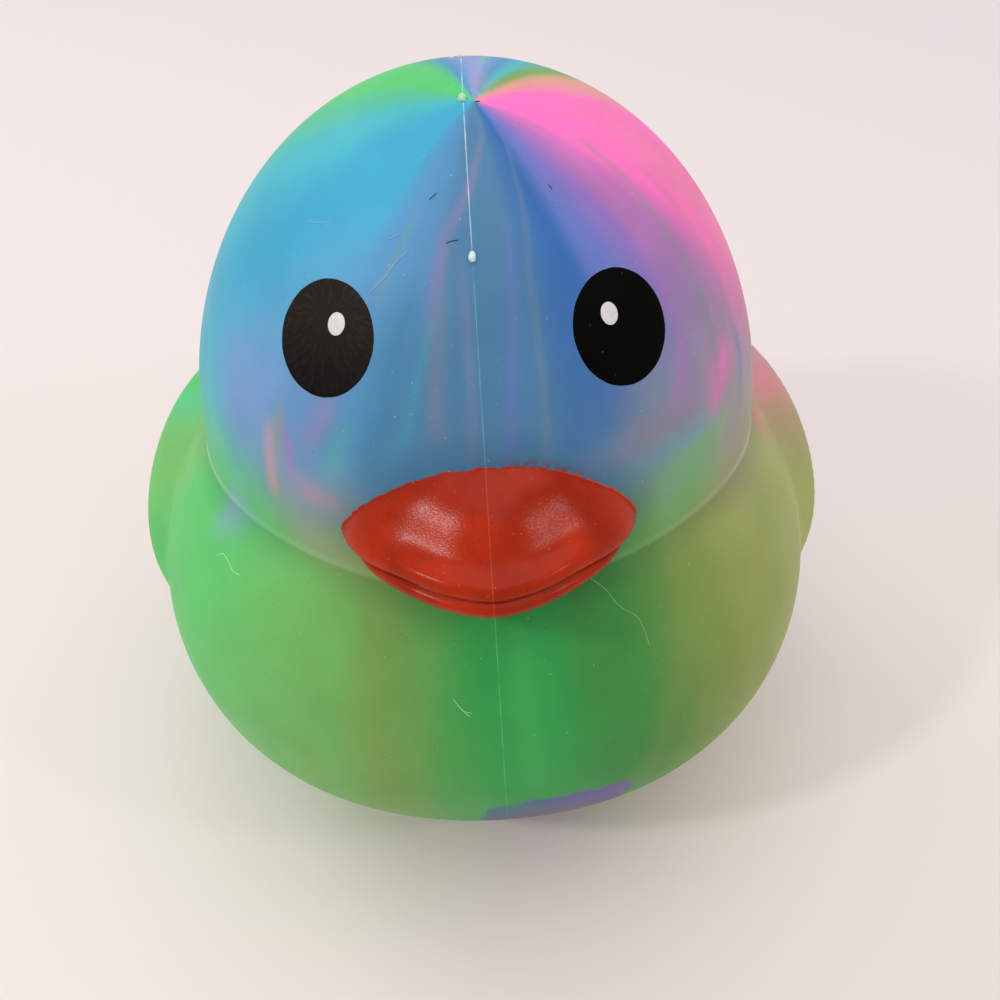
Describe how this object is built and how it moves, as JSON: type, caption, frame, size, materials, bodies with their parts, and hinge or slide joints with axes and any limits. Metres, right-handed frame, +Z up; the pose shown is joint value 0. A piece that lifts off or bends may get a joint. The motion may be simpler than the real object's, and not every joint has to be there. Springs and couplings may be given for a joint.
{
  "type": "rubber duck",
  "caption": "Chubby bath duck moulded as one hollow rubber body, with a painted bill and eyes, a flat base and a push-in squeaker under it.",
  "frame": {"origin": "on the floor under the middle of the duck's overall width and length", "axes": "+Z up, -Y the way the duck faces, +X the duck's left"},
  "size_m": [0.0782, 0.0805, 0.0873],
  "materials": {
    "marbled_rubber": "soft matt rubber marbled in green, cyan, blue, violet and pink; the bill is painted orange-red, the eyes black with a white glint",
    "squeaker_plastic": "natural white moulded plastic"
  },
  "bodies": {
    "root": {"duck_body": "marbled_rubber", "squeaker": "squeaker_plastic"}
  },
  "joints": []
}
